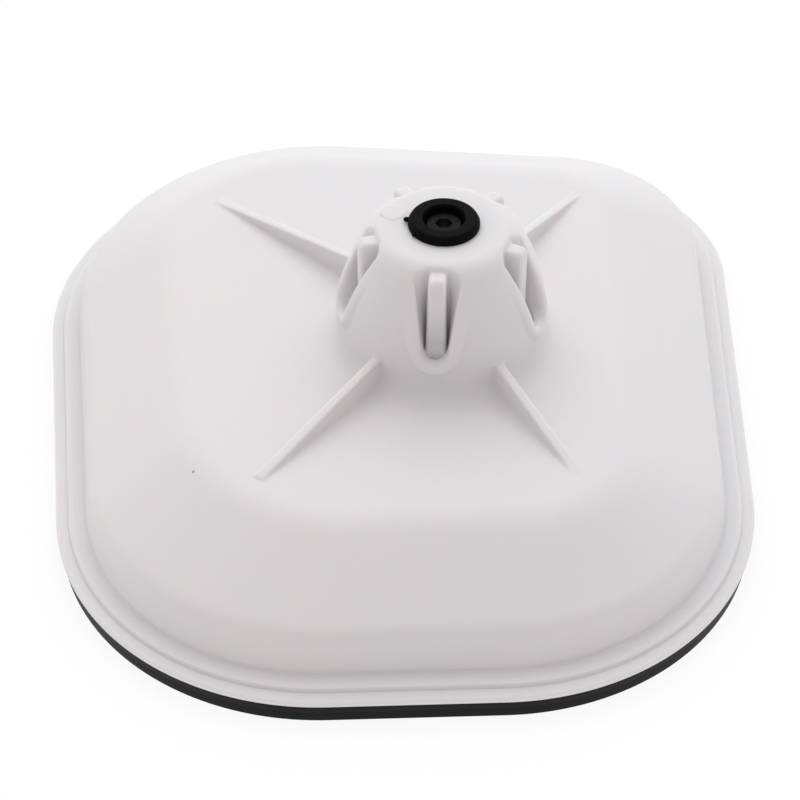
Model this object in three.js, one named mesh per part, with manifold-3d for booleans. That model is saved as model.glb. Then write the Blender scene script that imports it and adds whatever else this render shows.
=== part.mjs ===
// Wash cover of a small-engine air filter housing: a drafted white moulding that closes the
// filter opening, with a rubber rim seal and a captive centre bolt in a fluted tower.
// Millimetres, +Z up. The origin is the middle of the footprint, on the plane the seal rests on.
// +X is the cover's right, +Y its back. The bolt's axis is vertical and stands off the middle.

import * as THREE from 'three';
import { mergeVertices } from 'three/addons/utils/BufferGeometryUtils.js';
import { ParametricGeometry } from 'three/addons/geometries/ParametricGeometry.js';
import Module from 'manifold-3d';

// ---------------------------------------------------------------- driving dimensions

// The flange's outline is a quadrilateral with rounded corners, and no two sides are parallel.
// Each side has the bearing of its outward normal in degrees and its distance from the origin.
// Each radius belongs to the corner that follows its side, anticlockwise from the front.
const OUTLINE = {
  sides: [
    { bearing: -88.0, distance: 120.9 },
    { bearing: -2.3, distance: 105.1 },
    { bearing: 85.1, distance: 119.5 },
    { bearing: 188.0, distance: 102.0 },
  ],
  radii: [76.3, 55.6, 84.1, 76.7],
};

// The flat top of the dome keeps to the same bearings, with corners of its own.
const PLATEAU = {
  sides: [
    { bearing: -88.0, distance: 82.2 },
    { bearing: -2.3, distance: 64.8 },
    { bearing: 85.1, distance: 80.1 },
    { bearing: 188.0, distance: 63.8 },
  ],
  radii: [30, 18, 43, 47],
};
const CORNER_STEPS = 15;

// Where a quarter round passes its middle, as a share of its radius in from each of its sides.
const ROUND_MID = 0.29;
// How far a cut runs past the face it breaks through.
const OVERRUN = 1.0;

// Cover shell: heights above the seal's plane, and insets from the flange's edge.
const WALL = 2.8;
const FLANGE_BOTTOM_Z = 6.4;
const FLANGE_TOP_Z = 8.3;
const FLANGE_INSET = 3.5;
const BEAD_SIDE_Z = 9.7;
const BEAD_SIDE_INSET = 4.1;
const BEAD_TOP_Z = 10.0;
const BEAD_INSET = 5.2;
const BEAD_FOOT_Z = 9.4;
const BEAD_FOOT_INSET = 8.2;
const SHOULDER_INSET = 10.6;
const SHOULDER_Z = 19.5;
const SHOULDER_ROUND = 4.2;
const SHOULDER_MID_IN = 1.05;
const SHOULDER_MID_UP = 2.5;
const PLATEAU_Z = 36.0;
const PLATEAU_ROUND = 6.0;
const PLATEAU_RUN = 24.5;
const BEVEL_SLOPE = (PLATEAU_Z - SHOULDER_Z - SHOULDER_ROUND) / PLATEAU_RUN;

// Tower: a bell-shaped boss about the bolt's axis, upright below the height where its belly starts.
const AXIS_X = 14.4;
const AXIS_Y = -4.3;
const TOWER_TOP_Z = 74.0;
const TOWER_TOP_R = 21.5;
const TOWER_EDGE = 2.0;
const TOWER_BASE_R = 30.2;
const TOWER_BELLY_Z = 42.0;
const TOWER_BELLY = 0.0098;
const TOWER_STEPS = 6;
const TOWER_FILLET = 4.0;
const FEATHER = 0.05;
const TOWER_ROOF = 3.6;
const TOWER_SEGMENTS = 60;
const ROUND_SEGMENTS = 40;

// Flutes: slots cut down into the tower, each with a tongue standing in it.
const FLUTES = 5;
const FIRST_FLUTE = -95.5;
const FLUTE_FLOOR_Z = 41.0;
const FLUTE_INNER_R = 19.0;
const FLUTE_ROUND_R = 24.0;
const FLUTE_TOP_HALF = 4.2;
const FLUTE_FLOOR_HALF = 3.6;
const FLUTE_WALL = 2.4;
const MOUTH_BOTTOM_Z = 46.8;
const MOUTH_HALF = 4.6;
const MOUTH_TOP_HALF = 6.2;
const MOUTH_FROM_R = 23.0;
const MOUTH_TO_R = 34.0;
const FLUTE_CURVE_STEPS = 6;
const TONGUE_TOP_Z = 72.8;
const TONGUE_TIP_R = 24.5;
const TONGUE_HALF = 2.7;
const TONGUE_ROOT_R = 17.0;
const TONGUE_BEVEL = 1.4;
const TONGUE_CURVE_STEPS = 3;

// Gussets: thin triangular webs from the tower to the corners of the plateau.
const GUSSETS = [
  { bearing: 231.1, reach: 80.0 },
  { bearing: 300.9, reach: 66.8 },
  { bearing: 137.4, reach: 91.6 },
  { bearing: 57.0, reach: 78.5 },
];
const GUSSET_THICKNESS = 2.6;
const GUSSET_TOP_Z = 45.2;
const GUSSET_TOP_R = 30.0;
const GUSSET_ROOT_R = 27.5;
const GUSSET_TIP = 0.3;
const GUSSET_SINK = 1.0;

// Centre tube that guides the bolt inside the tower, with a wider socket at its top.
const TUBE_R = 7.0;
const TUBE_BORE_R = 4.0;
const TUBE_BOTTOM_Z = 30.0;
const SOCKET_R = 10.4;
const SOCKET_BORE_R = 7.9;
const SOCKET_FLOOR_Z = 62.0;

// Rim seal.
const GAP = 0.3;
const SEAL_OUTER_INSET = 0.8;
const SEAL_INNER_INSET = 9.6;
const SEAL_EDGE = 0.5;

// Grommet in the tower's top, with the sleeve that limits how far it is squeezed.
const GROMMET_R = 10.1;
const GROMMET_TOP_Z = 76.7;
const GROMMET_EDGE = 1.1;
const RECESS_R = 5.7;
const RECESS_FLOOR_Z = 70.5;
const SLEEVE_R = 4.6;
const SLEEVE_BORE_R = 3.3;
const SLEEVE_TOP_Z = 70.7;

// Captive M6 x 70 bolt with a low round head, its washer, and the ring that holds it captive.
const WASHER_R = 5.3;
const WASHER_BORE_R = 3.3;
const WASHER_BOTTOM_Z = 71.0;
const WASHER_THICKNESS = 1.0;
const BOLT_R = 3.0;
const BOLT_LENGTH = 70.0;
const BOLT_TIP = 0.8;
const HEAD_BOTTOM_Z = 72.3;
const HEAD_R = 5.25;
const HEAD_HEIGHT = 2.4;
// Side of the head as shares of its radius and height, from the underside up.
const HEAD_SIDE = [
  [1, 0],
  [1, 0.35],
  [0.9, 0.72],
  [0.68, 1],
];
const HEX_ACROSS_FLATS = 4.0;
const HEX_DEPTH = 1.6;
const RETAINER_R = 6.0;
const RETAINER_HEIGHT = 2.0;
const RETAINER_EDGE = 0.6;
const RETAINER_TOP_Z = 14.7;

// ---------------------------------------------------------------- materials

const WHITE_PLASTIC = new THREE.MeshStandardMaterial({ color: 0xf1f0ee, roughness: 0.5, metalness: 0 });
const BLACK_RUBBER = new THREE.MeshStandardMaterial({ color: 0x151517, roughness: 0.75, metalness: 0 });
const ZINC_STEEL = new THREE.MeshStandardMaterial({ color: 0xb9bcc0, roughness: 0.35, metalness: 1 });
const BLACK_STEEL = new THREE.MeshStandardMaterial({ color: 0x19191b, roughness: 0.45, metalness: 0.6 });

// ---------------------------------------------------------------- solids

const wasm = await Module();
wasm.setup();

// Leaves position only, joins shared vertices and drops the slivers at a closed pole.
function closed(geometry) {
  geometry.deleteAttribute('normal');
  geometry.deleteAttribute('uv');
  const merged = mergeVertices(geometry, 1e-4);
  const from = merged.index.array;
  const kept = [];
  for (let i = 0; i < from.length; i += 3) {
    const [a, b, c] = [from[i], from[i + 1], from[i + 2]];
    if (a !== b && b !== c && c !== a) {
      kept.push(a, b, c);
    }
  }
  merged.setIndex(kept);
  return merged;
}

function solid(geometry) {
  const ready = closed(geometry);
  const mesh = new wasm.Mesh({
    numProp: 3,
    vertProperties: new Float32Array(ready.attributes.position.array),
    triVerts: new Uint32Array(ready.index.array),
  });
  return new wasm.Manifold(mesh);
}

function toGeometry(manifold) {
  const mesh = manifold.getMesh();
  const geometry = new THREE.BufferGeometry();
  geometry.setAttribute('position', new THREE.BufferAttribute(mesh.vertProperties, 3));
  geometry.setIndex(new THREE.BufferAttribute(mesh.triVerts, 1));
  geometry.computeVertexNormals();
  return geometry;
}

function named(name, geometry, material, x = 0, y = 0) {
  const mesh = new THREE.Mesh(geometry, material);
  mesh.name = name;
  mesh.position.set(x, y, 0);
  return mesh;
}

// ---------------------------------------------------------------- rounded quadrilaterals

function moveIn(quad, inset) {
  return {
    sides: quad.sides.map((s) => ({ bearing: s.bearing, distance: s.distance - inset })),
    radii: quad.radii.map((r) => Math.max(r - inset, 1)),
  };
}

function mix(a, b, t) {
  return a + (b - a) * t;
}

// Points round a quadrilateral: each corner is an arc, and the sides join the arcs' ends.
function outlinePoints(quad) {
  const points = [];
  quad.sides.forEach((side, i) => {
    const next = quad.sides[(i + 1) % quad.sides.length];
    const radius = quad.radii[i];
    const from = THREE.MathUtils.degToRad(side.bearing);
    const turn = THREE.MathUtils.euclideanModulo(next.bearing - side.bearing, 360);
    const to = from + THREE.MathUtils.degToRad(turn);
    const sine = Math.sin(to - from);
    const p = side.distance - radius;
    const q = next.distance - radius;
    const centreX = (p * Math.sin(to) - q * Math.sin(from)) / sine;
    const centreY = (q * Math.cos(from) - p * Math.cos(to)) / sine;
    for (let j = 0; j <= CORNER_STEPS; j += 1) {
      const angle = mix(from, to, j / CORNER_STEPS);
      points.push([centreX + radius * Math.cos(angle), centreY + radius * Math.sin(angle)]);
    }
  });
  return points;
}

// Skin through a stack of rings. A stack that ends in a point closes itself; a looped one is a tube.
function loft(rings, looped) {
  const outlines = rings.map((ring) => ring.points);
  const count = outlines[0].length;
  const last = looped ? rings.length : rings.length - 1;
  return new ParametricGeometry((u, v, target) => {
    const i = Math.round(u * count) % count;
    const k = Math.round(v * last) % rings.length;
    const [x, y] = outlines[k][i];
    target.set(x, y, rings[k].z);
  }, count, last);
}

function ring(quad, z) {
  return { points: outlinePoints(quad), z };
}

// A ring shrunk to the middle of its outline, which closes a stack.
function pole(quad, z) {
  const points = outlinePoints(quad);
  const x = points.reduce((sum, p) => sum + p[0], 0) / points.length;
  const y = points.reduce((sum, p) => sum + p[1], 0) / points.length;
  return { points: points.map(() => [x, y]), z };
}

// ---------------------------------------------------------------- cover shell

// Rings of the dome from the shoulder to the middle of the plateau. sink moves them inwards, to
// make the inside of the wall. The bevel is straight, and a soft crease joins it to the plateau.
function domeRings(sink) {
  const shoulder = moveIn(OUTLINE, SHOULDER_INSET + sink);
  const top = moveIn(PLATEAU, sink * BEVEL_SLOPE * 0.5);
  const z = SHOULDER_Z - sink * (1 - BEVEL_SLOPE * 0.5);
  const roofZ = PLATEAU_Z - sink;
  const drop = BEVEL_SLOPE * PLATEAU_ROUND;
  return [
    ring(shoulder, z),
    ring(moveIn(shoulder, SHOULDER_MID_IN), z + SHOULDER_MID_UP),
    ring(moveIn(shoulder, SHOULDER_ROUND), z + SHOULDER_ROUND),
    ring(moveIn(top, -PLATEAU_ROUND), roofZ - drop),
    ring(top, roofZ - drop * 0.25),
    ring(moveIn(top, PLATEAU_ROUND), roofZ),
    pole(top, roofZ),
  ];
}

function outerSkin() {
  const rings = [
    pole(OUTLINE, FLANGE_BOTTOM_Z),
    ring(OUTLINE, FLANGE_BOTTOM_Z),
    ring(OUTLINE, FLANGE_TOP_Z),
    ring(moveIn(OUTLINE, FLANGE_INSET), FLANGE_TOP_Z),
    ring(moveIn(OUTLINE, BEAD_SIDE_INSET), BEAD_SIDE_Z),
    ring(moveIn(OUTLINE, BEAD_INSET), BEAD_TOP_Z),
    ring(moveIn(OUTLINE, BEAD_FOOT_INSET), BEAD_FOOT_Z),
  ];
  return solid(loft(rings.concat(domeRings(0)), false));
}

function innerSkin() {
  const mouth = moveIn(OUTLINE, BEAD_FOOT_INSET + WALL);
  const rings = [
    pole(mouth, FLANGE_BOTTOM_Z - OVERRUN),
    ring(mouth, FLANGE_BOTTOM_Z - OVERRUN),
  ];
  return solid(loft(rings.concat(domeRings(WALL)), false));
}

function towerRadius(z) {
  const rise = Math.max(z - TOWER_BELLY_Z, 0);
  return TOWER_BASE_R - TOWER_BELLY * rise * rise;
}

// The tower's side from a foot up to a top, moved in by a wall.
function towerSide(foot, top, wall) {
  const side = [[towerRadius(foot) - wall, foot]];
  for (let i = 0; i <= TOWER_STEPS; i += 1) {
    const z = mix(TOWER_BELLY_Z, top, i / TOWER_STEPS);
    side.push([towerRadius(z) - wall, z]);
  }
  return side;
}

function towerSolid() {
  const foot = PLATEAU_Z - WALL * 0.5;
  const profile = [
    [0, foot],
    [towerRadius(PLATEAU_Z) + TOWER_FILLET, foot],
    [towerRadius(PLATEAU_Z) + TOWER_FILLET, PLATEAU_Z + FEATHER],
    [towerRadius(PLATEAU_Z) + TOWER_FILLET * ROUND_MID, PLATEAU_Z + TOWER_FILLET * ROUND_MID],
    ...towerSide(PLATEAU_Z + TOWER_FILLET, TOWER_TOP_Z - TOWER_EDGE, 0),
    [TOWER_TOP_R - TOWER_EDGE * ROUND_MID, TOWER_TOP_Z - TOWER_EDGE * ROUND_MID],
    [TOWER_TOP_R - TOWER_EDGE, TOWER_TOP_Z],
    [0, TOWER_TOP_Z],
  ];
  return solid(turned(profile)).translate([AXIS_X, AXIS_Y, 0]);
}

function towerHollow() {
  const bottom = PLATEAU_Z - WALL - OVERRUN;
  const top = TOWER_TOP_Z - TOWER_ROOF;
  const profile = [
    [0, bottom],
    ...towerSide(bottom, top, WALL),
    [0, top],
  ];
  return solid(turned(profile)).translate([AXIS_X, AXIS_Y, 0]);
}

// Body of revolution about Z from [radius, z] pairs, listed from the bottom up the outside.
function turned(profile, segments = TOWER_SEGMENTS) {
  const points = profile.map(([r, z]) => new THREE.Vector2(r, z));
  return new THREE.LatheGeometry(points, segments).rotateX(Math.PI / 2);
}

// Upright prism between two heights.
function prism(shape, bottom, top) {
  const options = { depth: top - bottom, bevelEnabled: false, curveSegments: FLUTE_CURVE_STEPS };
  return new THREE.ExtrudeGeometry(shape, options).translate(0, 0, bottom);
}

// Plan of one flute at its widest, pointing along +X: square at the hub and round at its outer end.
function flutePlan(half, inner) {
  const shape = new THREE.Shape();
  shape.moveTo(inner, -half);
  shape.lineTo(FLUTE_ROUND_R, -half);
  shape.absarc(FLUTE_ROUND_R, 0, half, -Math.PI / 2, Math.PI / 2, false);
  shape.lineTo(inner, half);
  shape.closePath();
  return shape;
}

// A flute's room, grown by a wall on every side. It narrows evenly towards its floor.
function fluteRoom(grow, top) {
  const half = FLUTE_TOP_HALF + grow;
  const floor = FLUTE_FLOOR_Z - grow;
  const geometry = prism(flutePlan(half, FLUTE_INNER_R - grow), floor, top);
  const place = geometry.getAttribute('position');
  for (let i = 0; i < place.count; i += 1) {
    const rise = (place.getZ(i) - FLUTE_FLOOR_Z) / (TOWER_TOP_Z - FLUTE_FLOOR_Z);
    const share = (mix(FLUTE_FLOOR_HALF, FLUTE_TOP_HALF, rise) + grow) / half;
    const past = Math.max(place.getX(i) - FLUTE_ROUND_R, 0);
    place.setX(i, place.getX(i) - past * (1 - share));
    place.setY(i, place.getY(i) * share);
  }
  return solid(geometry);
}

// Where a flute opens through the tower's side: a round-ended front view, drawn out along +X.
function fluteMouth() {
  const foot = MOUTH_BOTTOM_Z + MOUTH_HALF;
  const top = TOWER_TOP_Z + OVERRUN;
  const shape = new THREE.Shape();
  shape.moveTo(-MOUTH_TOP_HALF, top);
  shape.lineTo(-MOUTH_HALF, foot);
  shape.absarc(0, foot, MOUTH_HALF, Math.PI, 2 * Math.PI, false);
  shape.lineTo(MOUTH_TOP_HALF, top);
  shape.closePath();
  const depth = MOUTH_TO_R - MOUTH_FROM_R;
  const options = { depth, bevelEnabled: false, curveSegments: FLUTE_CURVE_STEPS };
  const geometry = new THREE.ExtrudeGeometry(shape, options);
  return solid(geometry.rotateX(Math.PI / 2).rotateZ(Math.PI / 2).translate(MOUTH_FROM_R, 0, 0));
}

// A tongue's side view, with its top outer corner rounded off, drawn out to its width.
function tongue() {
  const shape = new THREE.Shape();
  shape.moveTo(TONGUE_ROOT_R, FLUTE_FLOOR_Z - OVERRUN);
  shape.lineTo(TONGUE_TIP_R, FLUTE_FLOOR_Z - OVERRUN);
  shape.lineTo(TONGUE_TIP_R, TONGUE_TOP_Z - TONGUE_BEVEL);
  shape.quadraticCurveTo(TONGUE_TIP_R, TONGUE_TOP_Z, TONGUE_TIP_R - TONGUE_BEVEL, TONGUE_TOP_Z);
  shape.lineTo(TONGUE_ROOT_R, TONGUE_TOP_Z);
  shape.closePath();
  return solid(upright(shape, 2 * TONGUE_HALF, TONGUE_CURVE_STEPS));
}

// A side view in the XZ plane, drawn out evenly to both sides of it.
function upright(shape, thickness, curveSegments = 1) {
  const options = { depth: thickness, bevelEnabled: false, curveSegments };
  return new THREE.ExtrudeGeometry(shape, options).translate(0, 0, -thickness / 2).rotateX(Math.PI / 2);
}

function gusset(reach) {
  const shape = new THREE.Shape();
  shape.moveTo(GUSSET_ROOT_R, PLATEAU_Z - GUSSET_SINK);
  shape.lineTo(reach, PLATEAU_Z - GUSSET_SINK);
  shape.lineTo(reach, PLATEAU_Z + GUSSET_TIP);
  shape.lineTo(GUSSET_TOP_R, GUSSET_TOP_Z);
  shape.lineTo(GUSSET_ROOT_R, GUSSET_TOP_Z);
  shape.closePath();
  return solid(upright(shape, GUSSET_THICKNESS));
}

function about(manifold, bearing) {
  return manifold.rotate([0, 0, bearing]).translate([AXIS_X, AXIS_Y, 0]);
}

function cylinder(radius, bottom, top, segments = ROUND_SEGMENTS) {
  const geometry = new THREE.CylinderGeometry(radius, radius, top - bottom, segments);
  return solid(geometry.rotateX(Math.PI / 2).translate(AXIS_X, AXIS_Y, (top + bottom) / 2));
}

// The tube below the roof, solid: its bore and socket are cut afterwards.
function centreTube() {
  const taper = SOCKET_R - TUBE_R;
  const profile = [
    [0, TUBE_BOTTOM_Z],
    [TUBE_R, TUBE_BOTTOM_Z],
    [TUBE_R, SOCKET_FLOOR_Z - WALL - taper],
    [SOCKET_R, SOCKET_FLOOR_Z - WALL],
    [SOCKET_R, TOWER_TOP_Z],
    [0, TOWER_TOP_Z],
  ];
  return solid(turned(profile, ROUND_SEGMENTS)).translate([AXIS_X, AXIS_Y, 0]);
}

function coverShell() {
  let outside = outerSkin().add(towerSolid());
  for (const web of GUSSETS) {
    outside = outside.add(about(gusset(web.reach), web.bearing));
  }
  let hollow = innerSkin().add(towerHollow());
  const tongues = [];
  for (let i = 0; i < FLUTES; i += 1) {
    const bearing = FIRST_FLUTE + (360 * i) / FLUTES;
    const room = fluteRoom(0, TOWER_TOP_Z + OVERRUN).add(fluteMouth());
    outside = outside.subtract(about(room, bearing));
    hollow = hollow.subtract(about(fluteRoom(FLUTE_WALL, TOWER_TOP_Z), bearing));
    tongues.push(about(tongue(), bearing));
  }
  hollow = hollow.subtract(centreTube());
  let shell = outside.subtract(hollow);
  for (const piece of tongues) {
    shell = shell.add(piece);
  }
  shell = shell.subtract(cylinder(TUBE_BORE_R, TUBE_BOTTOM_Z - OVERRUN, SOCKET_FLOOR_Z + OVERRUN));
  shell = shell.subtract(cylinder(SOCKET_BORE_R, SOCKET_FLOOR_Z, TOWER_TOP_Z + OVERRUN));
  return named('cover_shell', toGeometry(shell), WHITE_PLASTIC);
}

// ---------------------------------------------------------------- rim seal

function rimSeal() {
  const top = FLANGE_BOTTOM_Z - GAP;
  const section = [
    [SEAL_OUTER_INSET + SEAL_EDGE, 0],
    [SEAL_OUTER_INSET, SEAL_EDGE],
    [SEAL_OUTER_INSET, top],
    [SEAL_INNER_INSET, top],
    [SEAL_INNER_INSET, SEAL_EDGE],
    [SEAL_INNER_INSET - SEAL_EDGE, 0],
  ];
  const rings = section.map(([inset, z]) => ring(moveIn(OUTLINE, inset), z));
  return named('rim_seal', toGeometry(solid(loft(rings, true))), BLACK_RUBBER);
}

// ---------------------------------------------------------------- bolt and its fittings

function boltGrommet() {
  const under = TOWER_TOP_Z + GAP;
  const sleeveBore = SLEEVE_R + GAP;
  const neck = SOCKET_BORE_R - GAP;
  const foot = SOCKET_FLOOR_Z + GAP;
  const profile = [
    [sleeveBore, foot],
    [neck, foot],
    [neck, under],
    [GROMMET_R, under],
    [GROMMET_R, GROMMET_TOP_Z - GROMMET_EDGE],
    [GROMMET_R - GROMMET_EDGE * ROUND_MID, GROMMET_TOP_Z - GROMMET_EDGE * ROUND_MID],
    [GROMMET_R - GROMMET_EDGE, GROMMET_TOP_Z],
    [RECESS_R, GROMMET_TOP_Z],
    [RECESS_R, RECESS_FLOOR_Z],
    [sleeveBore, RECESS_FLOOR_Z],
    [sleeveBore, foot],
  ];
  return fitting('bolt_grommet', profile, BLACK_RUBBER);
}

// A turned piece whose closed profile stands clear of the axis, set on the bolt's axis.
function fitting(name, profile, material) {
  return named(name, closed(turned(profile, ROUND_SEGMENTS)), material, AXIS_X, AXIS_Y);
}

function flatRing(name, bore, radius, bottom, top, material) {
  const profile = [
    [bore, bottom],
    [radius, bottom],
    [radius, top],
    [bore, top],
    [bore, bottom],
  ];
  return fitting(name, profile, material);
}

// Captive ring with a rounded outside.
function boltRetainer() {
  const bore = BOLT_R + GAP;
  const bottom = RETAINER_TOP_Z - RETAINER_HEIGHT;
  const soft = RETAINER_EDGE;
  const profile = [
    [bore, bottom],
    [RETAINER_R - soft, bottom],
    [RETAINER_R, bottom + soft],
    [RETAINER_R, RETAINER_TOP_Z - soft],
    [RETAINER_R - soft, RETAINER_TOP_Z],
    [bore, RETAINER_TOP_Z],
    [bore, bottom],
  ];
  return fitting('bolt_retainer', profile, BLACK_RUBBER);
}

function retainingBolt() {
  const tip = HEAD_BOTTOM_Z - BOLT_LENGTH;
  const top = HEAD_BOTTOM_Z + HEAD_HEIGHT;
  const profile = [
    [0, tip],
    [BOLT_R - BOLT_TIP, tip],
    [BOLT_R, tip + BOLT_TIP],
    [BOLT_R, HEAD_BOTTOM_Z],
    ...HEAD_SIDE.map(([out, up]) => [HEAD_R * out, HEAD_BOTTOM_Z + HEAD_HEIGHT * up]),
    [0, top],
  ];
  const socketR = HEX_ACROSS_FLATS / Math.sqrt(3);
  const socket = new THREE.CylinderGeometry(socketR, socketR, 2 * HEX_DEPTH, 6);
  const hex = solid(socket.rotateX(Math.PI / 2).translate(0, 0, top));
  const bolt = solid(turned(profile, ROUND_SEGMENTS)).subtract(hex);
  return named('retaining_bolt', toGeometry(bolt), BLACK_STEEL, AXIS_X, AXIS_Y);
}

// ---------------------------------------------------------------- assembly

const housingCover = new THREE.Group();
housingCover.add(coverShell());
housingCover.add(rimSeal());
housingCover.add(boltGrommet());
housingCover.add(
  flatRing('grommet_sleeve', SLEEVE_BORE_R, SLEEVE_R, SOCKET_FLOOR_Z + GAP, SLEEVE_TOP_Z, ZINC_STEEL),
);
housingCover.add(
  flatRing(
    'bolt_washer',
    WASHER_BORE_R,
    WASHER_R,
    WASHER_BOTTOM_Z,
    WASHER_BOTTOM_Z + WASHER_THICKNESS,
    ZINC_STEEL,
  ),
);
housingCover.add(retainingBolt());
housingCover.add(boltRetainer());

export default housingCover;
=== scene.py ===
import math

import bpy
import numpy as np
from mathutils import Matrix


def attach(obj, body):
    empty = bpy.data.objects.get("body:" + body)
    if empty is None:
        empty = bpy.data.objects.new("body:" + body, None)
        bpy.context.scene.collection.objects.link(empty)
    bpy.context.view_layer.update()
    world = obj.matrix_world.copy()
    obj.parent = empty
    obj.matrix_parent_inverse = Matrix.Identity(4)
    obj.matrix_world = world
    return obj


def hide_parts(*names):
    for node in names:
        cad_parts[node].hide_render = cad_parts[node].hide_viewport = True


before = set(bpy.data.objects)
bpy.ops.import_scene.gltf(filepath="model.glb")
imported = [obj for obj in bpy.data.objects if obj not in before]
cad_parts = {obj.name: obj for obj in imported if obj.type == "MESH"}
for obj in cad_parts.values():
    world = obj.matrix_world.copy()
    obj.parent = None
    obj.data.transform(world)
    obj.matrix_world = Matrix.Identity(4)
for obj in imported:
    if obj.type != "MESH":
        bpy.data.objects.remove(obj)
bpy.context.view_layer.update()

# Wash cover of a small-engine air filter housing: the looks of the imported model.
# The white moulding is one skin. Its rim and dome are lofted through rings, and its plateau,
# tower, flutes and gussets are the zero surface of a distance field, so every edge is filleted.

# ------------------------------------------------------------------ dimensions, in millimetres

MM = 0.001

# Sides of a rounded quadrilateral: bearing of the outward normal in degrees, and distance.
# Each radius belongs to the corner after its side, anticlockwise from the front.
OUTLINE = {
    "bearings": (-88.0, -2.3, 85.1, 188.0),
    "distances": (120.9, 105.1, 119.5, 102.0),
    "radii": (76.3, 55.6, 84.1, 76.7),
}
PLATEAU = {
    "bearings": (-88.0, -2.3, 85.1, 188.0),
    "distances": (82.2, 64.8, 80.1, 63.8),
    "radii": (30.0, 18.0, 43.0, 47.0),
}
CORNER_STEPS = 48
SIDE_STEPS = 10

WALL = 2.8
SHOULDER_Z = 23.7
SHOULDER_INSET = 14.8
PLATEAU_Z = 36.0

# The bevel between shoulder and plateau, and the soft crease where it meets the flat.
BEVEL_RUN = 24.5
BEVEL_STEPS = 6
CREASE = 4.6
CREASE_STEPS = 10

# The tower field's patch of skin starts this far inside the plateau's edge.
PATCH_INSET = 7.2

# Half sections of the rim as (inset from the flange's edge, height, round).
RIM_OUTSIDE = (
    (14.8, 23.7, 0.0),
    (11.1, 21.85, 5.6),
    (8.5, 9.5, 0.9),
    (5.0, 10.0, 0.9),
    (3.9, 9.7, 0.5),
    (3.6, 8.3, 0.3),
    (0.2, 8.3, 0.6),
    (0.2, 6.4, 0.25),
    (9.0, 6.4, 0.0),
)
RIM_INSIDE = (
    (9.0, 6.4, 0.0),
    (11.0, 6.4, 0.4),
    (13.9, 19.6, 3.5),
    (17.6, 21.6, 0.0),
)
ROUND_STEPS = 7

# The bolt's axis, and the tower round it: bell-shaped above the height where its belly starts.
AXIS_X = 14.4
AXIS_Y = -4.3
TOWER_TOP_Z = 74.0
TOWER_BASE_R = 30.2
TOWER_BELLY_Z = 42.0
TOWER_BELLY = 0.0098
TOWER_ROOF = 3.6
TOWER_FOOT_BLEND = 6.5
TOWER_EDGE_BLEND = 3.4

# Flutes: even at the hub, wider at the skin, and deep behind a mouth with a raised lip.
# A mouth spreads by MOUTH_SPREAD on each side for a millimetre of height, and has its full width
# MOUTH_DEPTH of the way from the hub to the skin.
FLUTES = 5
FIRST_FLUTE = -95.5
FLUTE_FLOOR_Z = 41.0
FLUTE_INNER_R = 19.2
FLUTE_ROUND_R = 24.3
FLUTE_HALF = 3.2
FLUTE_WALL = 2.4
ROOM_SPARE = 1.0
ROOM_EDGE = 0.8
MOUTH_BOTTOM_Z = 48.2
MOUTH_HALF = 3.3
MOUTH_SPREAD = 0.13
MOUTH_DEPTH = 0.5
LIP_ROUND = 1.2
LIP_WIDTH = 4.2
LIP_RISE = 1.0
LIP_TOP_Z = 66.0
LIP_FADE = 14.0

# The tongue that stands in each flute.
TONGUE_TOP_Z = 72.3
TONGUE_TIP_R = 24.5
TONGUE_HALF = 2.35
TONGUE_DRAFT = 0.024
TONGUE_FOOT_Z = 51.0
TONGUE_FOOT_SPREAD = 0.55
TONGUE_CROWN = 2.2
TONGUE_EDGE = 1.2
TONGUE_HEEL_R = 16.2
TONGUE_ROOT = 0.6

# Gussets as (bearing of the web from the bolt's axis in degrees, radius where it runs out).
GUSSETS = ((231.1, 80.0), (300.9, 66.8), (137.4, 91.6), (57.0, 78.5))
GUSSET_HALF = 1.25
GUSSET_DRAFT = 0.02
GUSSET_TOP_Z = 45.2
GUSSET_TOP_R = 30.0
GUSSET_HEEL_R = 20.0
GUSSET_TIP = 0.45
GUSSET_EDGE = 0.5
GUSSET_FOOT = 1.0

# The round mark that the moulding's gate left, from the bolt's axis.
GATE_X = -14.2
GATE_Y = 6.0
GATE_R = 3.6
GATE_RISE = 0.3
GATE_EDGE = 0.15

# The tube down the middle, and the socket for the grommet at its top.
TUBE_R = 7.0
TUBE_BORE_R = 4.0
TUBE_BOTTOM_Z = 30.0
SOCKET_R = 10.4
SOCKET_BORE_R = 7.9
SOCKET_FLOOR_Z = 62.0
TUBE_BLEND = 0.8
BORE_EDGE = 0.3
POCKET_BLEND = 1.2
CEILING_BLEND = 2.0

# Grid that the tower field is sampled on.
NET_STEP = 0.45
NET_LOW = (-61.0, -78.0, 29.0)
NET_HIGH = (65.0, 76.0, 75.5)

# Section of the seal as (inset from the flange's edge, height, round).
SEAL_SECTION = (
    (5.0, 6.1, 0.0),
    (0.9, 6.1, 0.3),
    (1.15, 3.2, 0.6),
    (1.0, 0.0, 0.5),
    (9.4, 0.0, 0.5),
    (9.7, 6.1, 0.3),
    (5.0, 6.1, 0.0),
)

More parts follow.
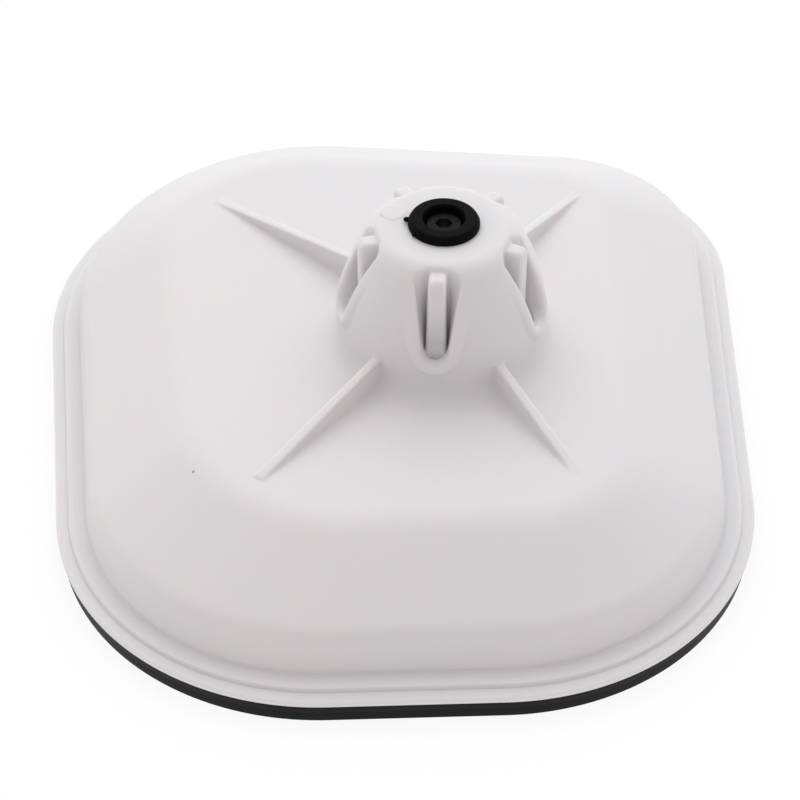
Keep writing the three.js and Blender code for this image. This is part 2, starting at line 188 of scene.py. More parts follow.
# Half sections of the turned pieces as (radius, height, round).
GROMMET_SECTION = (
    (7.0, 62.3, 0.0),
    (7.6, 62.3, 0.3),
    (7.6, 74.15, 0.2),
    (10.1, 74.05, 0.2),
    (10.1, 75.3, 0.5),
    (9.3, 76.7, 1.1),
    (6.1, 76.7, 0.4),
    (5.7, 75.6, 0.5),
    (5.7, 70.6, 0.2),
    (4.9, 70.6, 0.1),
    (4.9, 62.3, 0.2),
    (7.0, 62.3, 0.0),
)
SLEEVE_SECTION = (
    (4.0, 62.35, 0.0),
    (4.6, 62.35, 0.15),
    (4.6, 70.7, 0.15),
    (3.3, 70.7, 0.15),
    (3.3, 62.35, 0.15),
    (4.0, 62.35, 0.0),
)
WASHER_SECTION = (
    (4.5, 71.0, 0.0),
    (5.3, 71.0, 0.1),
    (5.3, 72.0, 0.2),
    (3.3, 72.0, 0.1),
    (3.3, 71.0, 0.1),
    (4.5, 71.0, 0.0),
)
RETAINER_SECTION = (
    (4.5, 12.7, 0.0),
    (6.0, 12.7, 0.7),
    (6.0, 14.7, 0.7),
    (3.3, 14.7, 0.3),
    (3.3, 12.7, 0.3),
    (4.5, 12.7, 0.0),
)
TURN_STEPS = 96

# Bolt: shank and thread, the half section of its head, and its socket as (half across flats, height).
SHANK_R = 3.0
BOLT_TIP_Z = 2.3
THREAD_TOP_Z = 22.0
THREAD_PITCH = 1.0
THREAD_DEPTH = 0.55
HEAD_SECTION = (
    (3.0, 70.0, 0.0),
    (3.0, 72.3, 0.1),
    (5.25, 72.3, 0.2),
    (5.25, 74.7, 0.7),
    (2.6, 74.7, 0.0),
)
HEX_SECTION = ((2.25, 74.7), (2.0, 74.5), (2.0, 73.1))

# Radius of the tiny rings that close the bolt's two ends.
PIN_R = 0.05

# Beads of flash on the grommet as (bearing in degrees, radius, height, size).
FLASH_NUBS = ((173.0, 10.5, 75.0, 1.0), (214.0, 10.1, 74.8, 0.7))
NUB_STEPS = 12

# ------------------------------------------------------------------ colours

SPECK_SCALE = 26
SPECK_SIZE = 0.013
PLASTIC = (0.755, 0.742, 0.745)
PLASTIC_COOL = (0.735, 0.735, 0.748)
SPECK = (0.35, 0.32, 0.3)
RUBBER_DARK = (0.001, 0.001, 0.001)
RUBBER_BLOOM = (0.004, 0.004, 0.004)
ZINC = (0.6, 0.61, 0.63)
BLACK_OXIDE = (0.012, 0.012, 0.013)

# ------------------------------------------------------------------ stage, in metres

FLOOR_GLOW = 0.89
FLOOR_GREY = (0.12, 0.12, 0.12, 1)
FLOOR_HALF = 4.0
SOFTBOX_PLACE = (0.02, 0.96, 1.15)
SOFTBOX_AIM = (0, 0, 0.03)
SOFTBOX_SIZE = (2.0, 1.4)
SOFTBOX_POWER = 9.5
FRONT_LIGHT = (0.5, 0.45, 0.45)
SIDE_LIGHT = (0.87, 0.857, 0.857)
BACK_LIGHT = (0.82, 0.822, 0.835)

# The camera's place, and how far below level it looks, in degrees.
EYE = (0.00212, -0.45352, 0.41018)
EYE_DOWN = 41.81
LENS = 90

# ------------------------------------------------------------------ outlines


def moved_in(quad, inset):
    """A quadrilateral with every side moved in, and its corners' radii with them."""
    return {
        "bearings": quad["bearings"],
        "distances": tuple(d - inset for d in quad["distances"]),
        "radii": tuple(max(r - inset, 1.0) for r in quad["radii"]),
    }


def between(first, second, share):
    """A quadrilateral part of the way from one to another."""

    def mixed(key):
        return tuple(a + (b - a) * share for a, b in zip(first[key], second[key]))

    return {key: mixed(key) for key in ("bearings", "distances", "radii")}


def outline_points(quad):
    """Points round a quadrilateral: an arc at each corner, with evenly spread points between."""
    arcs = []
    for i in range(4):
        j = (i + 1) % 4
        start = math.radians(quad["bearings"][i])
        turn = math.radians((quad["bearings"][j] - quad["bearings"][i]) % 360)
        end = start + turn
        radius = quad["radii"][i]
        p = quad["distances"][i] - radius
        q = quad["distances"][j] - radius
        x = (p * math.sin(end) - q * math.sin(start)) / math.sin(turn)
        y = (q * math.cos(start) - p * math.cos(end)) / math.sin(turn)
        angles = np.linspace(start, end, CORNER_STEPS + 1)
        arcs.append(np.column_stack([x + radius * np.cos(angles), y + radius * np.sin(angles)]))
    points = []
    for i in range(4):
        points.append(arcs[i])
        a = arcs[i][-1]
        b = arcs[(i + 1) % 4][0]
        shares = np.linspace(0, 1, SIDE_STEPS + 1)[1:-1, None]
        points.append(a + (b - a) * shares)
    return np.concatenate(points)


def ring(quad, z):
    flat = outline_points(quad)
    return np.column_stack([flat, np.full(len(flat), z)])


def rounded(corners):
    """A polyline with an arc in place of each corner that has a round."""
    points = [corners[0][:2]]
    for before, corner, after in zip(corners, corners[1:], corners[2:]):
        here = np.array(corner[:2])
        back = np.array(before[:2]) - here
        ahead = np.array(after[:2]) - here
        back /= np.linalg.norm(back)
        ahead /= np.linalg.norm(ahead)
        if corner[2] <= 0:
            points.append(tuple(here))
            continue
        half = math.acos(float(np.clip(back @ ahead, -1, 1))) / 2
        run = corner[2] / math.tan(half)
        middle = back + ahead
        middle /= np.linalg.norm(middle)
        centre = here + middle * corner[2] / math.sin(half)
        first = here + back * run - centre
        last = here + ahead * run - centre
        sweep = math.atan2(first[0] * last[1] - first[1] * last[0], float(first @ last))
        for k in range(ROUND_STEPS + 1):
            a = sweep * k / ROUND_STEPS
            spun = (
                first[0] * math.cos(a) - first[1] * math.sin(a),
                first[0] * math.sin(a) + first[1] * math.cos(a),
            )
            points.append((centre[0] + spun[0], centre[1] + spun[1]))
    points.append(corners[-1][:2])
    return points


# ------------------------------------------------------------------ meshes


def make_object(name, points, faces):
    mesh = bpy.data.meshes.new(name)
    mesh.from_pydata((np.asarray(points) * MM).tolist(), [], faces)
    mesh.validate()
    mesh.update()
    mesh.shade_smooth()
    thing = bpy.data.objects.new(name, mesh)
    bpy.context.scene.collection.objects.link(thing)
    return thing


def loft(rings, looped=False):
    """Points and faces of the skin through equal rings, facing right of the way they run."""
    count = len(rings[0])
    points = np.concatenate(rings)
    last = len(rings) if looped else len(rings) - 1
    faces = []
    for k in range(last):
        here = k * count
        there = ((k + 1) % len(rings)) * count
        for i in range(count):
            j = (i + 1) % count
            faces.append((here + i, there + i, there + j, here + j))
    return points, faces


# ------------------------------------------------------------------ white moulding: rim and dome


def bevel_rings(foot, top, foot_z, top_z):
    """Straight bevel from a ring up to the plateau's soft crease, then on to the flat."""
    slope = (top_z - foot_z) / BEVEL_RUN
    drop = slope * CREASE
    slack = moved_in(top, -CREASE)
    rings = []
    for k in range(BEVEL_STEPS):
        share = k / BEVEL_STEPS
        rings.append(ring(between(foot, slack, share), foot_z + (top_z - drop - foot_z) * share))
    for k in range(CREASE_STEPS + 1):
        out = CREASE * (1 - 2 * k / CREASE_STEPS)
        fall = slope * (out + CREASE) ** 2 / (4 * CREASE)
        rings.append(ring(moved_in(top, -out), top_z - fall))
    return rings


def dome_skin():
    """From the edge of the flat on top, down the outside, round the flange and up the inside."""
    outside = bevel_rings(moved_in(OUTLINE, SHOULDER_INSET), PLATEAU, SHOULDER_Z, PLATEAU_Z)
    outside.append(ring(moved_in(PLATEAU, PATCH_INSET), PLATEAU_Z))
    outside.reverse()
    rim = [ring(moved_in(OUTLINE, inset), z) for inset, z in rounded(RIM_OUTSIDE)[1:]]
    inner_rim = [ring(moved_in(OUTLINE, inset), z) for inset, z in rounded(RIM_INSIDE)[1:-1]]
    foot_inset, foot_z, _ = RIM_INSIDE[-1]
    top = moved_in(PLATEAU, WALL * 0.25)
    inside = bevel_rings(moved_in(OUTLINE, foot_inset), top, foot_z, PLATEAU_Z - WALL)
    inside.append(ring(moved_in(PLATEAU, PATCH_INSET), PLATEAU_Z - WALL))
    return loft(outside + rim + inner_rim + inside)


# ------------------------------------------------------------------ white moulding: tower field


def smooth_min(a, b, k):
    """The lower of two fields, with a fillet of about k where they are close."""
    h = np.clip(0.5 + 0.5 * (b - a) / k, 0, 1)
    return b + (a - b) * h - k * h * (1 - h)


def smooth_max(a, b, k):
    return -smooth_min(-a, -b, k)


def turned_to(x, y, bearing):
    """Distances along and across a bearing from the bolt's axis."""
    c = math.cos(math.radians(bearing))
    s = math.sin(math.radians(bearing))
    dx = x - AXIS_X
    dy = y - AXIS_Y
    return dx * c + dy * s, dy * c - dx * s


def flute_bearings():
    return [FIRST_FLUTE + 360.0 * i / FLUTES for i in range(FLUTES)]


def tower_side(r, z, inset):
    """Bell-shaped side, upright below the height where its belly starts."""
    rise = np.maximum(z - TOWER_BELLY_Z, 0)
    slope = 2 * TOWER_BELLY * rise
    return (r - TOWER_BASE_R + TOWER_BELLY * rise**2) / np.hypot(1, slope) + inset


def flute_half(along, z):
    """A flute's half width: even at the hub, opening out to its mouth at the tower's skin."""
    skin = TOWER_BASE_R - TOWER_BELLY * np.maximum(z - TOWER_BELLY_Z, 0) ** 2
    run = np.maximum(skin - FLUTE_INNER_R, 1.0) * MOUTH_DEPTH
    share = np.clip((along - FLUTE_INNER_R) / run, 0, 1)
    mouth = MOUTH_HALF + MOUTH_SPREAD * np.maximum(z - MOUTH_BOTTOM_Z, 0)
    return FLUTE_HALF + (mouth - FLUTE_HALF) * share


def flute_room(along, across, z, grow):
    """A flute's room: square at the hub, round at its outer end, and deep behind the mouth."""
    half = np.minimum(flute_half(along, z), FLUTE_HALF + ROOM_SPARE) + grow
    sides = np.hypot(np.maximum(along - FLUTE_ROUND_R, 0), across) - half
    room = smooth_max(sides, FLUTE_INNER_R - grow - along, ROOM_EDGE)
    return smooth_max(room, FLUTE_FLOOR_Z - grow - z, ROOM_EDGE)


def mouth_edge(along, across, z):
    """How far a point is outside a mouth's edge, seen from the front: round at the bottom."""
    rise = np.minimum(z - MOUTH_BOTTOM_Z - MOUTH_HALF, 0)
    return np.hypot(across, rise) - flute_half(along, z)


def flute_mouth(along, across, z):
    """Where a flute opens through the tower's side, above its mouth's bottom."""
    opening = np.maximum(mouth_edge(along, across, z), FLUTE_INNER_R - along)
    return np.maximum(opening, MOUTH_BOTTOM_Z - z)


def lip_rise(along, across, z):
    """How far the bead round the lower part of a mouth stands out of the tower's skin."""
    middle = LIP_WIDTH / 2
    hump = np.clip(1 - ((mouth_edge(along, across, z) - middle) / middle) ** 2, 0, 1)
    fade = np.clip((LIP_TOP_Z - z) / LIP_FADE, 0, 1)
    return np.where(along > 0, LIP_RISE * hump * fade, 0)


def tongue(along, across, z):
    """The tongue in a flute: drafted sides, a rounded crown, and a foot that spreads outwards."""
    sides = np.abs(across) - TONGUE_HALF - TONGUE_DRAFT * (TONGUE_TOP_Z - z)
    foot = TONGUE_FOOT_SPREAD * np.maximum(TONGUE_FOOT_Z - z, 0)
    crown = smooth_max(along - TONGUE_TIP_R - foot, z - TONGUE_TOP_Z, TONGUE_CROWN)
    body = smooth_max(sides, crown, TONGUE_EDGE)
    return np.maximum(body, TONGUE_HEEL_R - along)


def gusset(x, y, z, bearing, reach):
    """A thin web whose ridge falls from the tower's foot to the plateau."""
    along, across = turned_to(x, y, bearing)
    fall = GUSSET_TOP_Z - PLATEAU_Z - GUSSET_TIP
    run = reach - GUSSET_TOP_R
    ridge = ((along - GUSSET_TOP_R) * fall + (z - GUSSET_TOP_Z) * run) / math.hypot(fall, run)
    sides = np.abs(across) - GUSSET_HALF - GUSSET_DRAFT * (GUSSET_TOP_Z - z)
    web = smooth_max(sides, ridge, GUSSET_EDGE)
    web = smooth_max(web, z - GUSSET_TOP_Z, GUSSET_EDGE)
    return np.maximum(web, GUSSET_HEEL_R - along)


def tower_skin(x, y, z, r):
    """The tower's outside, with the beads round its mouths."""
    side = tower_side(r, z, 0)
    for bearing in flute_bearings():
        side = side - lip_rise(*turned_to(x, y, bearing), z)
    return smooth_max(side, z - TOWER_TOP_Z, TOWER_EDGE_BLEND)


def gate_mark(x, y, z):
    """The low disc beside the grommet."""
    disc = np.hypot(x - AXIS_X - GATE_X, y - AXIS_Y - GATE_Y) - GATE_R
    return smooth_max(disc, z - TOWER_TOP_Z - GATE_RISE, GATE_EDGE)


def tube_side(r, z):
    """The tube's outside, widened to the socket at its top."""
    widen = np.clip((z - SOCKET_FLOOR_Z + WALL) / (SOCKET_R - TUBE_R) + 1, 0, 1)
    return r - TUBE_R - (SOCKET_R - TUBE_R) * widen


def moulding(x, y, z):
    """Distance, in millimetres, to the surface of the moulding's middle: below zero is plastic."""
    r = np.hypot(x - AXIS_X, y - AXIS_Y)
    solid = smooth_min(tower_skin(x, y, z, r), z - PLATEAU_Z, TOWER_FOOT_BLEND)
    for bearing, reach in GUSSETS:
        solid = smooth_min(solid, gusset(x, y, z, bearing, reach), GUSSET_FOOT)
    solid = smooth_min(solid, gate_mark(x, y, z), GATE_EDGE)
    hollow = np.maximum(tower_side(r, z, WALL), z - TOWER_TOP_Z + TOWER_ROOF)
    for bearing in flute_bearings():
        along, across = turned_to(x, y, bearing)
        slot = np.minimum(flute_room(along, across, z, 0), flute_mouth(along, across, z))
        solid = smooth_max(solid, -slot, LIP_ROUND)
        blade = tongue(along, across, np.maximum(z, FLUTE_FLOOR_Z))
        solid = smooth_min(solid, blade, TONGUE_ROOT)
        pocket = flute_room(along, across, z, FLUTE_WALL)
        hollow = smooth_max(hollow, -pocket, POCKET_BLEND)
    hollow = smooth_min(hollow, z - PLATEAU_Z + WALL, CEILING_BLEND)
    tube = np.maximum(tube_side(r, z), TUBE_BOTTOM_Z - z)
    hollow = smooth_max(hollow, -tube, TUBE_BLEND)
    solid = smooth_max(solid, -hollow, BORE_EDGE)
    solid = smooth_max(solid, TUBE_BORE_R - r, BORE_EDGE)
    socket = np.maximum(r - SOCKET_BORE_R, SOCKET_FLOOR_Z - z)
    return smooth_max(solid, -socket, BORE_EDGE)


# ------------------------------------------------------------------ surface nets

CORNERS = np.array([(i, j, k) for i in (0, 1) for j in (0, 1) for k in (0, 1)])


def cell_edges():
    """Pairs of corners of a cell that an edge joins."""
    pairs = []
    for a in range(8):
        for b in range(a + 1, 8):
            if np.abs(CORNERS[a] - CORNERS[b]).sum() == 1:
                pairs.append((a, b))
    return pairs


def surface_net(field, low, high, step):
    """Points and quads on the zero surface of a field, one point in each cell that it crosses."""
    axes = [np.arange(low[i], high[i] + step, step) for i in range(3)]
    values = field(*np.meshgrid(*axes, indexing="ij", sparse=True))
    solid = values < 0
    shape = tuple(n - 1 for n in values.shape)
    count = np.zeros(shape, np.int8)
    for i, j, k in CORNERS:
        count += solid[i : i + shape[0], j : j + shape[1], k : k + shape[2]]
    cells = np.argwhere((count > 0) & (count < 8))
    at = [values[tuple((cells + corner).T)] for corner in CORNERS]
    total = np.zeros((len(cells), 3))
    hits = np.zeros(len(cells))
    for a, b in cell_edges():
        crossed = (at[a] < 0) != (at[b] < 0)
        share = at[a][crossed] / (at[a][crossed] - at[b][crossed])
        total[crossed] += CORNERS[a] + (CORNERS[b] - CORNERS[a]) * share[:, None]
        hits[crossed] += 1
    points = np.array(low) + (cells + total / hits[:, None]) * step
    numbers = np.full(shape, -1, np.int32)
    numbers[tuple(cells.T)] = np.arange(len(cells))
    quads = [net_quads(solid, numbers, axis) for axis in range(3)]
    return points, np.concatenate(quads)


def net_quads(solid, numbers, axis):
    """A quad round each grid edge along an axis that the surface crosses, facing out."""
    u, v = (axis + 1) % 3, (axis + 2) % 3
    ahead = np.moveaxis(solid, axis, 0)
    crossed = np.moveaxis(ahead[1:] != ahead[:-1], 0, axis)
    inner = [slice(None)] * 3
    inner[u] = slice(1, -1)
    inner[v] = slice(1, -1)
    where = np.argwhere(crossed[tuple(inner)])
    where[:, u] += 1
    where[:, v] += 1
    corners = []
    for du, dv in ((1, 1), (0, 1), (0, 0), (1, 0)):
        cell = where.copy()
        cell[:, u] -= du
        cell[:, v] -= dv
        corners.append(numbers[tuple(cell.T)])
    quads = np.column_stack(corners)
    outward = solid[tuple(where.T)]
    quads[~outward] = quads[~outward][:, ::-1]
    return quads


def pulled_on(field, points, rounds=3):
    """Points moved along the field's slope until they lie on its zero surface."""
    tiny = 0.02
    for _ in range(rounds):
        x, y, z = points.T
        value = field(x, y, z)
        slope = np.column_stack(
            [
                field(x + tiny, y, z) - field(x - tiny, y, z),
                field(x, y + tiny, z) - field(x, y - tiny, z),
                field(x, y, z + tiny) - field(x, y, z - tiny),
            ]
        ) / (2 * tiny)
        size = np.maximum((slope**2).sum(1), 0.25)
        move = -slope * (value / size)[:, None]
        length = np.maximum(np.linalg.norm(move, axis=1), 1e-9)
        points = points + move * np.minimum(1, 0.3 / length)[:, None]
    return points


def inside_quad(points, quad):
    """Which points lie inside a rounded quadrilateral, seen from above."""
    edge = outline_points(quad)
    after = np.roll(edge, -1, axis=0)
    kept = np.ones(len(points), bool)
    for (ax, ay), (bx, by) in zip(edge, after):
        kept &= (bx - ax) * (points[:, 1] - ay) - (by - ay) * (points[:, 0] - ax) >= 0
    return kept


def free_edge(quads):
    """Numbers of the points on edges that only one face uses."""
    edges = np.concatenate([quads[:, [i, (i + 1) % 4]] for i in range(4)])
    edges.sort(axis=1)
    found, uses = np.unique(edges, axis=0, return_counts=True)
    return np.unique(found[uses == 1])


def nearest_on(points, quad):
    """The place nearest each point on a quadrilateral's outline, seen from above."""
    edge = outline_points(quad)
    best = np.full(len(points), np.inf)
    place = points[:, :2].copy()
    for a, b in zip(edge, np.roll(edge, -1, axis=0)):
        along = b - a
        share = np.clip((points[:, :2] - a) @ along / (along @ along), 0, 1)
        here = a + share[:, None] * along
        gap = np.linalg.norm(points[:, :2] - here, axis=1)
        closer = gap < best
        best[closer] = gap[closer]
        place[closer] = here[closer]
    return place


def middle_skin():
    """The field's surface inside the flat's border, with its free edge drawn out to the border."""
    border = moved_in(PLATEAU, PATCH_INSET)
    points, quads = surface_net(moulding, NET_LOW, NET_HIGH, NET_STEP)
    kept = inside_quad(points, border)
    quads = quads[kept[quads].all(axis=1)]
    used, quads = np.unique(quads, return_inverse=True)
    points = pulled_on(moulding, points[used])
    quads = quads.reshape(-1, 4)
    edge = free_edge(quads)
    points[edge, :2] = nearest_on(points[edge], border)
    top = points[edge, 2] > PLATEAU_Z - WALL / 2
    points[edge, 2] = np.where(top, PLATEAU_Z, PLATEAU_Z - WALL)
    return points, quads.tolist()


def cover_shell():
    rim_points, rim_faces = dome_skin()
    mid_points, mid_faces = middle_skin()
    shift = len(rim_points)
    faces = rim_faces + [tuple(i + shift for i in face) for face in mid_faces]
    shell = make_object("cover_shell_skin", np.concatenate([rim_points, mid_points]), faces)
    shell.data.materials.append(white_plastic())
    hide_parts("cover_shell")
    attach(shell, "cover")


# ------------------------------------------------------------------ rim seal


def rim_seal():
    section = rounded(SEAL_SECTION)[:-1]
    rings = [ring(moved_in(OUTLINE, inset), z) for inset, z in section]
    points, faces = loft(rings, looped=True)
    seal = make_object("rim_seal_skin", points, faces)
    seal.data.materials.append(rubber("seal_rubber", 0.42, 0.14))
    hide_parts("rim_seal")
    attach(seal, "cover")


# ------------------------------------------------------------------ turned pieces


def turned_ring(radius_at, z):
    """A ring about the bolt's axis whose radius is a function of the angle."""
    angles = np.arange(TURN_STEPS) * 2 * math.pi / TURN_STEPS
    radius = radius_at(angles)
    x = AXIS_X + radius * np.cos(angles)
    y = AXIS_Y + radius * np.sin(angles)
    return np.column_stack([x, y, np.full(TURN_STEPS, z)])


def plain(radius):
    return lambda angles: np.full(len(angles), radius)


def turned(name, section):
    """Body of revolution about the bolt's axis from a closed half section."""
    rings = [turned_ring(plain(radius), z) for radius, z in rounded(section)[:-1]]
    rings.reverse()
    points, faces = loft(rings, looped=True)
    return make_object(name, points, faces)


def fitting(name, section, node, body, material):
    """A turned piece in place of its plain node."""
    piece = turned(name, section)
    piece.data.materials.append(material)
    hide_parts(node)
    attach(piece, body)


def nub(bearing, radius, z, size):
    """A small bead of moulding flash, as a closed ball of rings."""
    x = AXIS_X + radius * math.cos(math.radians(bearing))
    y = AXIS_Y + radius * math.sin(math.radians(bearing))
    around = np.arange(NUB_STEPS) * 2 * math.pi / NUB_STEPS
    rings = []
    for tilt in np.linspace(-0.49 * math.pi, 0.49 * math.pi, NUB_STEPS // 2):
        out = size * math.cos(tilt)
        height = np.full(NUB_STEPS, z + 0.6 * size * math.sin(tilt))
        rings.append(np.column_stack([x + out * np.cos(around), y + out * np.sin(around), height]))
    rings.reverse()
    return loft(rings)


def grommet_flash():
    """Two beads of flash on the grommet's edge, as one piece."""
    points = []
    faces = []
    for spot in FLASH_NUBS:
        shift = sum(len(p) for p in points)
        more, quads = nub(*spot)
        points.append(more)
        faces += [tuple(i + shift for i in face) for face in quads]
    beads = make_object("grommet_flash", np.concatenate(points), faces)
    beads.data.materials.append(rubber("flash_rubber", 0.5, 0.05))
    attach(beads, "cover")


# ------------------------------------------------------------------ materials


def new_material(name):
    material = bpy.data.materials.new(name)
    material.use_nodes = True
    nodes = material.node_tree.nodes
    return material, nodes, material.node_tree.links, nodes["Principled BSDF"]


def noise(nodes, links, place, scale, detail):
    texture = nodes.new("ShaderNodeTexNoise")
    texture.inputs["Scale"].default_value = scale
    texture.inputs["Detail"].default_value = detail
    links.new(place, texture.inputs["Vector"])
    return texture.outputs["Fac"]


def ramp(nodes, links, value, low, high):
    """Noise, which mostly keeps between 0.3 and 0.7, moved to a range."""
    spread = nodes.new("ShaderNodeMapRange")
    spread.inputs["From Min"].default_value = 0.3
    spread.inputs["From Max"].default_value = 0.7
    spread.inputs["To Min"].default_value = low
    spread.inputs["To Max"].default_value = high
    links.new(value, spread.inputs["Value"])
    return spread.outputs["Result"]


def blend(nodes, links, share, first, second):
    mix = nodes.new("ShaderNodeMix")
    mix.data_type = "RGBA"
    mix.inputs["A"].default_value = (*first, 1)
    mix.inputs["B"].default_value = (*second, 1)
    links.new(share, mix.inputs["Factor"])
    return mix.outputs["Result"]


def add_bump(nodes, links, shader, height, depth):
    bump = nodes.new("ShaderNodeBump")
    bump.inputs["Strength"].default_value = 1.0
    bump.inputs["Distance"].default_value = depth
    links.new(height, bump.inputs["Height"])
    links.new(bump.outputs["Normal"], shader.inputs["Normal"])


def object_place(nodes):
    return nodes.new("ShaderNodeTexCoord").outputs["Object"]


def specks(nodes, links, place):
    """Sparse dust specks: a small dot where the skin meets the middle of a coarse cell."""
    scatter = nodes.new("ShaderNodeTexVoronoi")
    scatter.inputs["Scale"].default_value = SPECK_SCALE
    links.new(place, scatter.inputs["Vector"])
    dot = nodes.new("ShaderNodeMath")
    dot.operation = "LESS_THAN"
    dot.inputs[1].default_value = SPECK_SIZE
    links.new(scatter.outputs["Distance"], dot.inputs[0])
    return dot.outputs["Value"]


def white_plastic():
    """Injection-moulded polypropylene: slightly translucent, with a fine satin grain."""
    material, nodes, links, shader = new_material("white_plastic")
    place = object_place(nodes)
    patches = ramp(nodes, links, noise(nodes, links, place, 14, 2), 0, 1)
    base = blend(nodes, links, patches, PLASTIC, PLASTIC_COOL)
    dirt = nodes.new("ShaderNodeMix")
    dirt.data_type = "RGBA"
    dirt.inputs["B"].default_value = (*SPECK, 1)
    links.new(base, dirt.inputs["A"])
    links.new(specks(nodes, links, place), dirt.inputs["Factor"])
    links.new(dirt.outputs["Result"], shader.inputs["Base Color"])
    grain = noise(nodes, links, place, 2600, 3)
    links.new(ramp(nodes, links, grain, 0.44, 0.58), shader.inputs["Roughness"])
    add_bump(nodes, links, shader, grain, 0.00002)
    shader.inputs["Subsurface Weight"].default_value = 0.5
    shader.inputs["Subsurface Radius"].default_value = (1.0, 0.7, 0.6)
    shader.inputs["Subsurface Scale"].default_value = 0.0024
    shader.inputs["Specular IOR Level"].default_value = 0.35
    return material


def rubber(name, roughness, shine):
    """Black moulded rubber with a fine matt grain and a faint bloom."""
    material, nodes, links, shader = new_material(name)
    place = object_place(nodes)
    bloom = ramp(nodes, links, noise(nodes, links, place, 90, 3), 0, 1)
    base = blend(nodes, links, bloom, RUBBER_DARK, RUBBER_BLOOM)
    links.new(base, shader.inputs["Base Color"])
    grain = noise(nodes, links, place, 3200, 2)
    links.new(ramp(nodes, links, grain, roughness, roughness + 0.15), shader.inputs["Roughness"])
    add_bump(nodes, links, shader, grain, 0.00003)
    shader.inputs["Specular IOR Level"].default_value = shine
    return material


def metal(name, colour, roughness):
    """Plated steel, a little patchy, with a fine grain."""
    material, nodes, links, shader = new_material(name)
    place = object_place(nodes)
    patches = ramp(nodes, links, noise(nodes, links, place, 300, 3), 0, 1)
    darker = tuple(c * 0.75 for c in colour)
    links.new(blend(nodes, links, patches, colour, darker), shader.inputs["Base Color"])
    grain = noise(nodes, links, place, 2400, 2)
    wear = ramp(nodes, links, grain, roughness - 0.08, roughness + 0.1)
    links.new(wear, shader.inputs["Roughness"])
    add_bump(nodes, links, shader, grain, 0.00001)
    shader.inputs["Metallic"].default_value = 1.0
    return material


# ------------------------------------------------------------------ stage


def floor():
    """White paper under the part, which glows so that it shows no shadow."""
    size = FLOOR_HALF
    points = [(-size, -size, 0), (size, -size, 0), (size, size, 0), (-size, size, 0)]
    mesh = bpy.data.meshes.new("floor")
    mesh.from_pydata(points, [], [(0, 1, 2, 3)])
    thing = bpy.data.objects.new("floor", mesh)
    bpy.context.scene.collection.objects.link(thing)
    material, _, _, shader = new_material("floor_paper")
    shader.inputs["Base Color"].default_value = FLOOR_GREY
    shader.inputs["Roughness"].default_value = 0.9
    shader.inputs["Specular IOR Level"].default_value = 0.0
    shader.inputs["Emission Color"].default_value = (1, 1, 1, 1)
    shader.inputs["Emission Strength"].default_value = FLOOR_GLOW
    mesh.materials.append(material)


def area_light(name, place, aim, size, power):
    data = bpy.data.lights.new(name, "AREA")
    data.shape = "RECTANGLE"
    data.size = size[0]
    data.size_y = size[1]
    data.energy = power
    lamp = bpy.data.objects.new(name, data)
    lamp.location = place
    way = np.array(aim, float) - np.array(place, float)
    yaw = math.atan2(way[1], way[0])
    pitch = math.acos(-way[2] / np.linalg.norm(way))
    lamp.rotation_euler = (pitch, 0, yaw - math.pi / 2)
    bpy.context.scene.collection.objects.link(lamp)


def world_light():
    """Light tent: white at the sides, top and back, and dimmer and warmer behind the viewer."""
    world = bpy.data.worlds.new("studio")
    world.use_nodes = True
    nodes = world.node_tree.nodes
    links = world.node_tree.links
    split = nodes.new("ShaderNodeSeparateXYZ")
    links.new(nodes.new("ShaderNodeTexCoord").outputs["Generated"], split.inputs["Vector"])
    spread = nodes.new("ShaderNodeMapRange")
    spread.inputs["From Min"].default_value = -1
    spread.inputs["From Max"].default_value = 1
    links.new(split.outputs["Y"], spread.inputs["Value"])
    tones = nodes.new("ShaderNodeValToRGB")
    tones.color_ramp.elements[0].color = (*FRONT_LIGHT, 1)
    tones.color_ramp.elements[1].color = (*BACK_LIGHT, 1)
    middle = tones.color_ramp.elements.new(0.42)
    middle.color = (*SIDE_LIGHT, 1)
    links.new(spread.outputs["Result"], tones.inputs["Fac"])
    links.new(tones.outputs["Color"], nodes["Background"].inputs["Color"])
    bpy.context.scene.world = world


def lights():
    bpy.context.scene.view_settings.view_transform = "Standard"
    area_light("softbox", SOFTBOX_PLACE, SOFTBOX_AIM, SOFTBOX_SIZE, SOFTBOX_POWER)
    world_light()


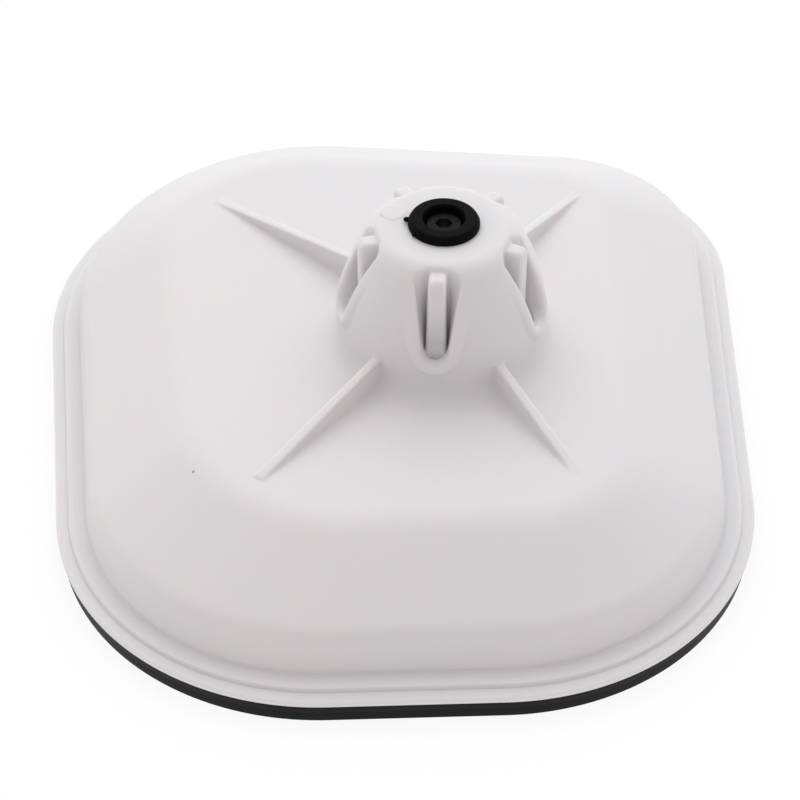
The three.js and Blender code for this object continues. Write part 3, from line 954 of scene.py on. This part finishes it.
def camera():
    data = bpy.data.cameras.new("camera")
    data.sensor_width = 36
    data.lens = LENS
    data.clip_end = 20
    eye = bpy.data.objects.new("camera", data)
    eye.location = EYE
    eye.rotation_euler = (math.radians(90 - EYE_DOWN), 0, 0)
    bpy.context.scene.collection.objects.link(eye)
    bpy.context.scene.camera = eye


# ------------------------------------------------------------------ bolt


def thread(z, depth):
    """Radius round the shank at a height on the thread."""

    def radius(angles):
        turns = np.mod(z / THREAD_PITCH - angles / (2 * math.pi), 1)
        return SHANK_R - depth * 2 * np.abs(turns - 0.5)

    return radius


def hexagon(apothem):
    sector = math.pi / 3
    return lambda angles: apothem / np.cos(np.mod(angles, sector) - sector / 2)


def bolt():
    """Socket-head bolt from the tip of its thread, up the shank, over the head and into the hex."""
    rings = [turned_ring(plain(r), BOLT_TIP_Z) for r in (PIN_R, SHANK_R - 1.0)]
    for z in np.arange(BOLT_TIP_Z + 0.5, THREAD_TOP_Z, THREAD_PITCH / 10):
        fade = min(1, (THREAD_TOP_Z - z) / (2 * THREAD_PITCH))
        rings.append(turned_ring(thread(z, THREAD_DEPTH * fade), z))
    rings.append(turned_ring(plain(SHANK_R), THREAD_TOP_Z + 0.2))
    for radius, z in rounded(HEAD_SECTION):
        rings.append(turned_ring(plain(radius), z))
    for apothem, z in HEX_SECTION:
        rings.append(turned_ring(hexagon(apothem), z))
    rings.append(turned_ring(plain(PIN_R), HEX_SECTION[-1][1] - 0.3))
    rings.reverse()
    points, faces = loft(rings)
    piece = make_object("bolt_skin", points, faces)
    piece.data.materials.append(metal("black_oxide", BLACK_OXIDE, 0.5))
    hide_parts("retaining_bolt")
    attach(piece, "bolt")


# ------------------------------------------------------------------ assembly

camera()
lights()
floor()
cover_shell()
rim_seal()
fitting("grommet_skin", GROMMET_SECTION, "bolt_grommet", "cover",
        rubber("grommet_rubber", 0.5, 0.05))
fitting("sleeve_skin", SLEEVE_SECTION, "grommet_sleeve", "cover",
        metal("zinc_plate", ZINC, 0.35))
fitting("washer_skin", WASHER_SECTION, "bolt_washer", "washer",
        metal("zinc_plate_washer", ZINC, 0.35))
fitting("retainer_skin", RETAINER_SECTION, "bolt_retainer", "bolt",
        rubber("retainer_rubber", 0.5, 0.05))
bolt()
grommet_flash()
